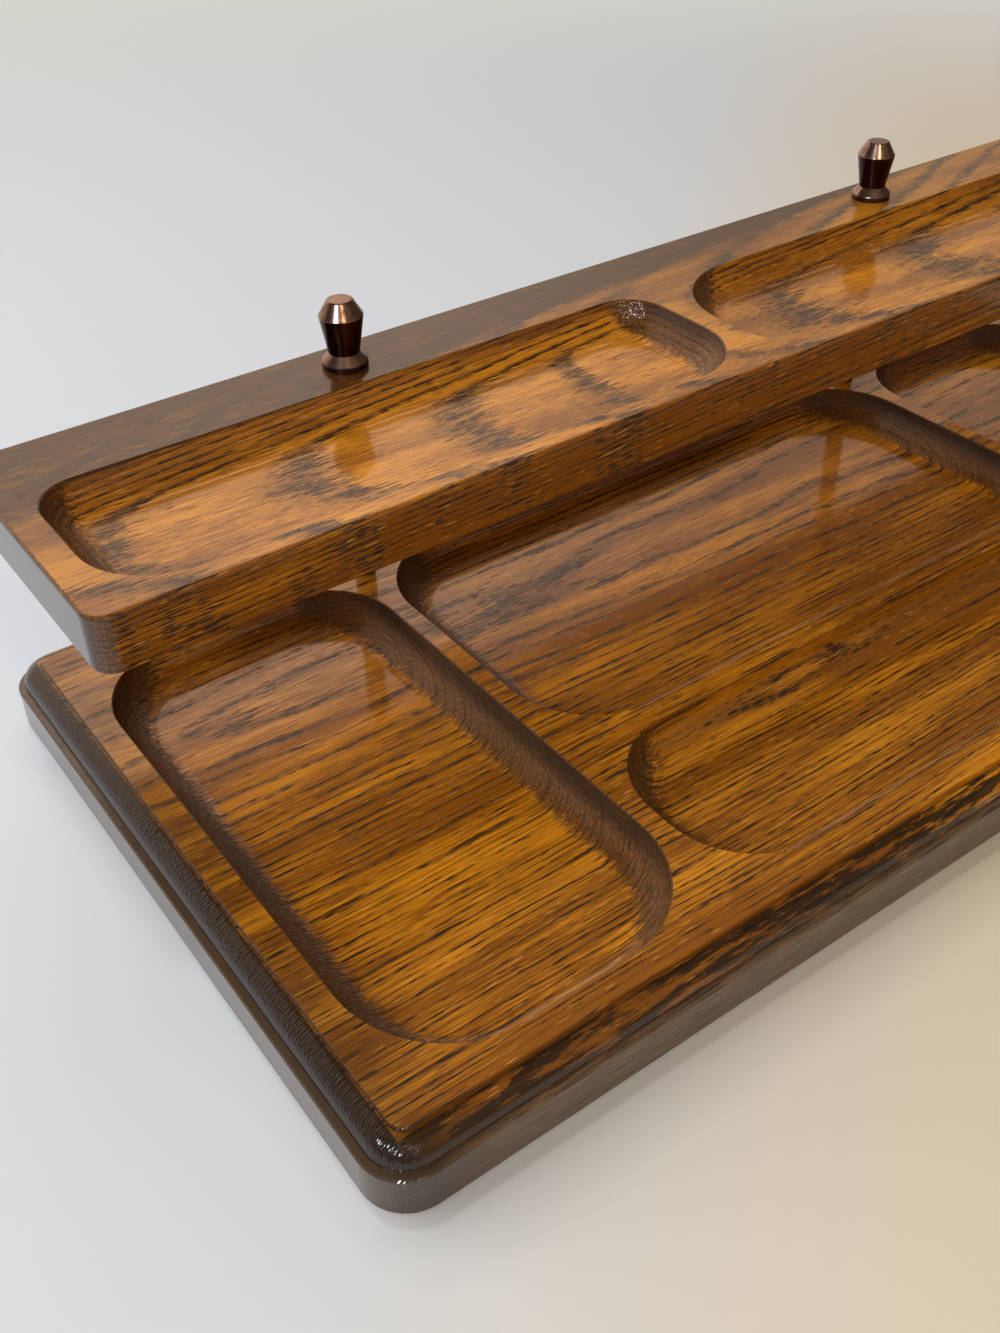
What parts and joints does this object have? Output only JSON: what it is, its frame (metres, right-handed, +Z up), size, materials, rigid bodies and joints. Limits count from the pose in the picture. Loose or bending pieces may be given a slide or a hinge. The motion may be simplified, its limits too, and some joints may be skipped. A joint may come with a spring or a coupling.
{
  "type": "two-tier valet tray",
  "caption": "Wooden dresser valet: wide moulded base board with coved recesses, a narrow recessed shelf above it on slim metal posts, clamped by turned metal finials.",
  "frame": {"origin": "centre of the base board's footprint, on the surface that the tray stands on", "axes": "+X to the user's right along the boards, +Y to the back, +Z up"},
  "size_m": [0.52, 0.253, 0.1305],
  "materials": {
    "oak_base": "stained oak under gloss lacquer",
    "oak_shelf": "stained oak under gloss lacquer",
    "finial_bronze": "dark antique bronze, polished",
    "post_bronze": "dark bronze, satin",
    "zinc_hardware": "zinc plated"
  },
  "bodies": {
    "root": {"base_board": "oak_base", "shelf_board": "oak_shelf", "finial_left": "finial_bronze", "finial_right": "finial_bronze", "post_left": "post_bronze", "post_right": "post_bronze", "stud_left": "zinc_hardware", "stud_right": "zinc_hardware", "washer_left": "zinc_hardware", "washer_right": "zinc_hardware", "nut_left": "zinc_hardware", "nut_right": "zinc_hardware"}
  },
  "joints": []
}
